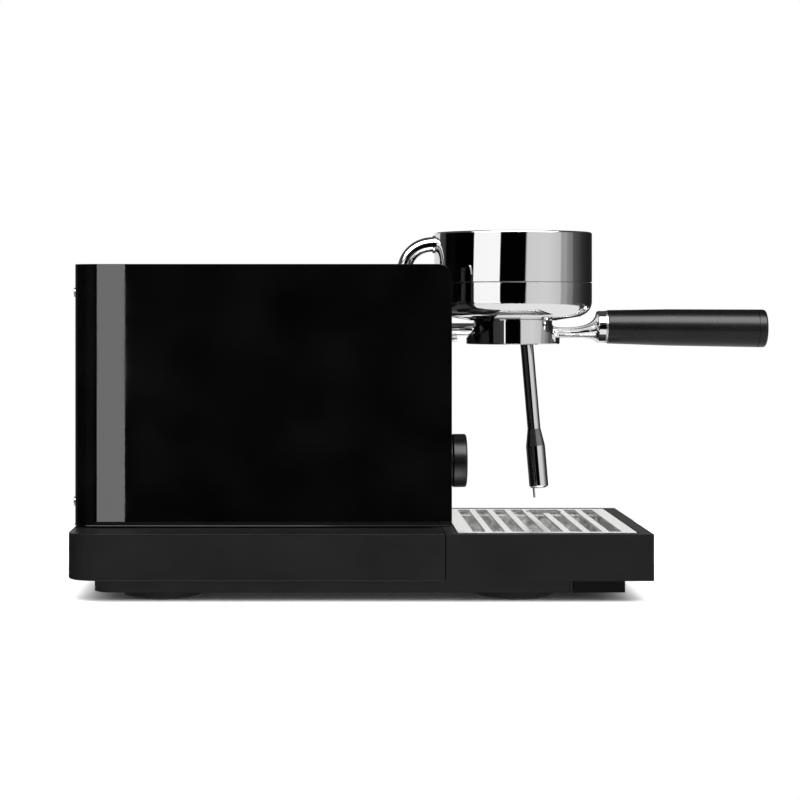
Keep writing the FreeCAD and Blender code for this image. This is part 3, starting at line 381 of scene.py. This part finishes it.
def piece(name, mesh, material, body):
    """A new named piece that rides on a body."""
    made = bpy.data.objects.new(name, mesh)
    scene.collection.objects.link(made)
    mesh.materials.append(material)
    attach(made, body)
    return made


CASING_CORNER_MM = 17.3
LINER_CORNER_MM = 4.6
CASING_SCREWS_MM = ((-34, 66), (34, 66), (-34, 218), (34, 218))
CREASE = math.radians(35)


def circle_loop(radius, count):
    """Points round a circle."""
    return [(radius * math.cos(2 * math.pi * i / count),
             radius * math.sin(2 * math.pi * i / count)) for i in range(count)]


def star_loop(inner, outer, lobes, count):
    """Points round a lobed socket."""
    middle, swing = (inner + outer) / 2, (outer - inner) / 2
    loop = []
    for i in range(count):
        turn = 2 * math.pi * i / count
        radius = middle + swing * math.cos(lobes * turn)
        loop.append((radius * math.cos(turn), radius * math.sin(turn)))
    return loop


def lofted(name, loops, place):
    """A mesh from equal loops of points, each at its own height, capped at both ends."""
    mesh = bpy.data.meshes.new(name)
    work = bmesh.new()
    rows = [[work.verts.new(place @ Vector((x * MM, y * MM, height * MM))) for x, y in loop]
            for loop, height in loops]
    for low, high in zip(rows, rows[1:]):
        for i in range(len(low)):
            j = (i + 1) % len(low)
            work.faces.new((low[i], low[j], high[j], high[i]))
    work.faces.new(list(reversed(rows[0])))
    work.faces.new(rows[-1])
    bmesh.ops.recalc_face_normals(work, faces=work.faces)
    for face in work.faces:
        face.smooth = True
    for edge in work.edges:
        if len(edge.link_faces) == 2 and edge.calc_face_angle() > CREASE:
            edge.smooth = False
    work.to_mesh(mesh)
    work.free()
    return mesh


def screw_head(name, spot, along, radius, height, socket):
    """A flat-topped screw head with a six-lobed socket, sunk end first along its axis."""
    turn = Vector((0, 0, 1)).rotation_difference(Vector(along)).to_matrix().to_4x4()
    place = Matrix.Translation(Vector(spot)) @ turn
    count = 48
    loops = [(circle_loop(radius * 0.9, count), -0.05), (circle_loop(radius, count), 0.1),
             (circle_loop(radius, count), height * 0.6),
             (circle_loop(radius * 0.86, count), height),
             (star_loop(socket * 0.74, socket, 6, count), height),
             (star_loop(socket * 0.70, socket * 0.94, 6, count), height - 0.9)]
    return lofted(name, loops, place)


def swept_edge(name, path, profile):
    """A mesh bead that follows a level path of (x, y), each with its outward direction."""
    mesh = bpy.data.meshes.new(name)
    work = bmesh.new()
    rows = []
    for (x, y), (out_x, out_y) in path:
        rows.append([work.verts.new(((x + out_x * out) * MM, (y + out_y * out) * MM, up * MM))
                     for out, up in profile])
    for low, high in zip(rows, rows[1:]):
        for i in range(len(profile)):
            j = (i + 1) % len(profile)
            work.faces.new((low[i], low[j], high[j], high[i]))
    work.faces.new(list(reversed(rows[0])))
    work.faces.new(rows[-1])
    bmesh.ops.recalc_face_normals(work, faces=work.faces)
    for face in work.faces:
        face.smooth = True
    work.to_mesh(mesh)
    work.free()
    return mesh


def casing_outline():
    """The casing's path from one cheek's front edge round the back to the other."""
    corner, steps = CASING_CORNER_MM, 12
    low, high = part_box("casing_wrap")
    back, front, half = low[0] / MM, high[0] / MM, high[1] / MM
    path = [((front - 0.3, -half), (0, -1)), ((back + corner, -half), (0, -1))]
    for side, start in ((-1, 270), (1, 180)):
        for i in range(1, steps + 1):
            turn = math.radians(start - 90 * i / steps)
            out = (math.cos(turn), math.sin(turn))
            centre = (back + corner, side * (half - corner))
            path.append(((centre[0] + out[0] * corner, centre[1] + out[1] * corner), out))
        if side < 0:
            path.append(((back, half - corner), (-1, 0)))
    path.append(((front - 0.3, half), (0, 1)))
    return path


def make_casing_hem():
    """Bare rolled edge of the casing's lower fold."""
    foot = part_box("casing_wrap")[0][2] / MM
    profile = [(-0.3, foot + 0.1), (0.05, foot - 0.05), (0.28, foot + 0.25),
               (0.28, foot + 0.75), (0.05, foot + 1.1), (-0.3, foot + 1.1)]
    mesh = swept_edge("casing_hem", casing_outline(), profile)
    piece("casing_hem", mesh, enamel, "root")


def make_screw_heads():
    """Socket heads on the four screws at the casing's back."""
    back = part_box("casing_wrap")[0][0]
    for number, (side, level) in enumerate(CASING_SCREWS_MM, 1):
        spot = (back - 0.0001, side * MM, level * MM)
        mesh = screw_head(f"casing_screw_head_{number}", spot, (-1, 0, 0), 3.5, 1.2, 1.7)
        piece(f"casing_screw_head_{number}", mesh, zinc, "root")


def make_seam_ring():
    """Turned steel spacer ring sunk in the joint between the group's bowl and its cap."""
    low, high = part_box("group_cap")
    centre = (low[0] + high[0]) / 2
    count = 160
    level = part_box("group_body")[1][2] / MM
    place = Matrix.Translation((centre, 0, 0))
    radius = (high[0] - centre) / MM
    loops = [(circle_loop(radius - 3.5, count), level + 0.02),
             (circle_loop(radius - 0.9, count), level + 0.02),
             (circle_loop(radius - 0.7, count), level + 0.2),
             (circle_loop(radius - 0.7, count), level + 0.5),
             (circle_loop(radius - 0.9, count), level + 0.68),
             (circle_loop(radius - 3.5, count), level + 0.68)]
    mesh = lofted("group_seam_ring", loops, place)
    piece("group_seam_ring", mesh, spun_steel, "root")


def make_liner_rim():
    """Upright rim of the tray insert, which closes the well right up to the grille."""
    low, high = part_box("tray_liner")
    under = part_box("drip_plate")[0][2] / MM
    corner = LINER_CORNER_MM
    path = []
    for across, along, start in ((1, 1, 0), (-1, 1, 90), (-1, -1, 180), (1, -1, 270)):
        x = (high[0] if across > 0 else low[0]) / MM - across * corner
        y = (high[1] if along > 0 else low[1]) / MM - along * corner
        for step in range(7):
            turn = math.radians(start + 15 * step)
            out = (math.cos(turn), math.sin(turn))
            path.append(((x + out[0] * corner, y + out[1] * corner), out))
    path.append(path[0])
    foot = high[2] / MM
    profile = [(-0.7, foot - 0.6), (-0.1, foot - 0.6), (-0.1, under - 0.35),
               (-0.3, under - 0.15), (-0.5, under - 0.15), (-0.7, under - 0.35)]
    piece("liner_rim", swept_edge("liner_rim", path, profile), tray_steel, "drip_tray")


make_casing_hem()
make_screw_heads()
make_seam_ring()
make_liner_rim()


# ---------------------------------------------------------------- floor, light and camera


FLOOR_RADIUS = 0.54


def lay_floor():
    """A round pale board under the machine, kept out of glossy reflections."""
    mesh = bpy.data.meshes.new("studio_floor")
    work = bmesh.new()
    bmesh.ops.create_circle(work, cap_ends=True, segments=180, radius=FLOOR_RADIUS)
    work.to_mesh(mesh)
    work.free()
    made = bpy.data.objects.new("studio_floor", mesh)
    made.location.z = cad_box[0][2]
    made.visible_glossy = False
    scene.collection.objects.link(made)
    material, tree, shader, where = blank("painted_board", Roughness=0.85)
    shader.inputs["Specular IOR Level"].default_value = 0.1
    cloud = add(tree, "ShaderNodeTexNoise", {"Vector": where, "Scale": per(300), "Detail": 2.0})
    blotched(tree, shader, cloud.outputs["Fac"], "eeeeee", "f3f3f3")
    mesh.materials.append(material)


# Brightness of the softbox, the pale ground and the ceiling, as bright metal shows them, and of
# the even light that falls on matt surfaces.
SOFTBOX = 8.0
GROUND = 0.85
CEILING = 0.06
EVEN_LIGHT = 1.22
# Wall brightness by bearing in degrees: 0 faces the camera's side, 90 the machine's front.
ROUND_THE_ROOM = (
    (-180, "303030"), (-131, "404040"), (-120.5, "303030"), (-120, "040404"),
    (-100, "080808"), (-98, "020202"), (-65.4, "000000"), (-60, "343434"), (-25, "3c3c3c"),
    (-24, "020202"), (13.7, "020202"), (14.3, "d4d4d4"), (45, "d8d8d8"), (68.2, "c8c8c8"),
    (68.8, "a0a0a0"), (79.7, "a0a0a0"), (80.3, "8c8c8c"), (92.2, "787878"),
    (92.8, "585858"), (115, "303030"), (136, "202020"), (180, "303030"),
)
# Heights, as the upward part of a direction, between which the walls give way to the ground
# and to the ceiling, and the sideways part between which the softbox ends.
GROUND_EDGE = (-0.28, -0.36)
CEILING_EDGE = (0.2, 0.32)
SOFTBOX_SIDES = (0.82, 0.72)
# The softbox's lower and upper edge, each as the degrees of pitch over which it fades.
SOFTBOX_FOOT = (30, 36)
SOFTBOX_HEAD = (80, 70)


def light_room():
    """Soft light: pale and black walls by bearing, a dim ceiling, a pale ground, a softbox."""
    room = bpy.data.worlds.new("studio_room")
    scene.world = room
    room.use_nodes = True
    tree = room.node_tree
    tree.nodes.clear()
    where = add(tree, "ShaderNodeTexCoord").outputs["Generated"]
    axes = add(tree, "ShaderNodeSeparateXYZ", {"Vector": where}).outputs
    front = add(tree, "ShaderNodeMath", {0: axes["Y"], 1: -1.0}, operation="MULTIPLY").outputs[0]
    bearing = add(tree, "ShaderNodeMath", {0: axes["X"], 1: front},
                  operation="ARCTAN2").outputs[0]
    place = add(tree, "ShaderNodeMapRange",
                {"Value": bearing, "From Min": -math.pi, "From Max": math.pi})
    walls = add(tree, "ShaderNodeValToRGB", {"Fac": place.outputs["Result"]})
    stops(walls, [((angle + 180) / 360, shade(code)) for angle, code in ROUND_THE_ROOM])
    sunk = add(tree, "ShaderNodeMapRange",
               {"Value": axes["Z"], "From Min": GROUND_EDGE[0],
                "From Max": GROUND_EDGE[1]}).outputs["Result"]
    lower_room = add(tree, "ShaderNodeMix",
                     {"Factor": sunk, 6: walls.outputs["Color"], 7: (GROUND, GROUND, GROUND, 1)},
                     data_type="RGBA").outputs[2]
    raised = add(tree, "ShaderNodeMapRange",
                 {"Value": axes["Z"], "From Min": CEILING_EDGE[0],
                  "From Max": CEILING_EDGE[1]}).outputs["Result"]
    ceiling = add(tree, "ShaderNodeMix",
                  {"Factor": raised, 6: lower_room,
                   7: (CEILING, CEILING, CEILING, 1)}, data_type="RGBA").outputs[2]
    pitch = add(tree, "ShaderNodeMath", {0: axes["Z"], 1: front}, operation="ARCTAN2").outputs[0]
    lower = add(tree, "ShaderNodeMapRange",
                {"Value": pitch, "From Min": math.radians(SOFTBOX_FOOT[0]),
                 "From Max": math.radians(SOFTBOX_FOOT[1])},
                interpolation_type="SMOOTHSTEP").outputs["Result"]
    upper = add(tree, "ShaderNodeMapRange",
                {"Value": pitch, "From Min": math.radians(SOFTBOX_HEAD[0]),
                 "From Max": math.radians(SOFTBOX_HEAD[1])},
                interpolation_type="SMOOTHSTEP").outputs["Result"]
    aside = add(tree, "ShaderNodeMath", {0: axes["X"]}, operation="ABSOLUTE").outputs[0]
    within = add(tree, "ShaderNodeMapRange",
                 {"Value": aside, "From Min": SOFTBOX_SIDES[0], "From Max": SOFTBOX_SIDES[1]},
                 interpolation_type="SMOOTHSTEP").outputs["Result"]
    tall = add(tree, "ShaderNodeMath", {0: lower, 1: upper}, operation="MULTIPLY").outputs[0]
    box = add(tree, "ShaderNodeMath", {0: tall, 1: within}, operation="MULTIPLY").outputs[0]
    lit = add(tree, "ShaderNodeMix", {"Factor": box, 6: ceiling,
                                      7: (SOFTBOX, SOFTBOX, SOFTBOX, 1)},
              data_type="RGBA").outputs[2]
    ray = add(tree, "ShaderNodeLightPath").outputs
    soft = add(tree, "ShaderNodeMix",
               {"Factor": ray["Is Diffuse Ray"], 6: lit,
                7: (EVEN_LIGHT, EVEN_LIGHT, EVEN_LIGHT, 1)}, data_type="RGBA").outputs[2]
    plain = add(tree, "ShaderNodeMix",
                {"Factor": ray["Is Camera Ray"], 6: soft, 7: (1, 1, 1, 1)}, data_type="RGBA")
    glow = add(tree, "ShaderNodeBackground", {"Color": plain.outputs[2]})
    add(tree, "ShaderNodeOutputWorld", {"Surface": glow.outputs[0]})


EYE_LEVEL = 0.2067
PANEL_REACH = 1.5
PANEL_HEIGHT = 0.9
GROUP = "group_cap group_body feed_pipe"
# Each panel's name, first and last bearing in degrees, brightness and the pieces that show it.
PANELS = (
    ("front_panel_light", -62.8, -23.3, 1.0, GROUP),
    ("line_panel_light", -26.6, -23.3, 1.0, "portafilter filter_basket"),
    ("back_panel_light", -178, -138, 0.7, GROUP),
    ("plate_panel_light", 145, 215, 1.15, "drip_plate tray_liner"),
    ("tray_panel_light", 146, 214, 0.55, "drip_tray chassis base_frame"),
)


def stand_panel(name, centre, bearing, width, height, glow, lit):
    """An upright light of a given brightness, seen only by the pieces named."""
    panel = bpy.data.lights.new(name, "AREA")
    panel.shape = "RECTANGLE"
    panel.size = width
    panel.size_y = height
    panel.energy = glow * math.pi * width * height
    stand = bpy.data.objects.new(name, panel)
    stand.location = centre
    stand.rotation_euler = (math.radians(90), 0, math.radians(bearing))
    stand.visible_camera = False
    scene.collection.objects.link(stand)
    only = bpy.data.collections.new(name + "_reach")
    for node in lit.split():
        only.objects.link(NODES[node])
    stand.light_linking.receiver_collection = only


def stand_lights():
    """A strip for the casing, and panels that the group, the portafilter and the tray show."""
    stand_panel("strip_light", (-0.3425, -1.255, 0.3), 0, 0.036, 1.6, 3.6, "casing_wrap")
    low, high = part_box("group_cap")
    middle = Vector(((low[0] + high[0]) / 2, 0, EYE_LEVEL))
    for name, start, end, glow, lit in PANELS:
        bearing = math.radians((start + end) / 2)
        spot = middle + PANEL_REACH * Vector((math.sin(bearing), -math.cos(bearing), 0))
        width = 2 * PANEL_REACH * math.tan(math.radians((end - start) / 2))
        stand_panel(name, spot, math.degrees(bearing), width, PANEL_HEIGHT, glow, lit)


def stand_camera():
    """A long lens level with the brew group, shifted so that the whole machine is in view."""
    lens = bpy.data.cameras.new("side_view")
    lens.lens = 96.9
    lens.sensor_width = 36
    lens.shift_x = 0.1096
    lens.shift_y = -0.115
    stand = bpy.data.objects.new("side_view", lens)
    stand.location = (-0.0852, -1.603, EYE_LEVEL)
    stand.rotation_euler = (math.radians(90), 0, 0)
    scene.collection.objects.link(stand)
    scene.camera = stand


lay_floor()
light_room()
stand_lights()
stand_camera()
scene.view_settings.view_transform = "Standard"
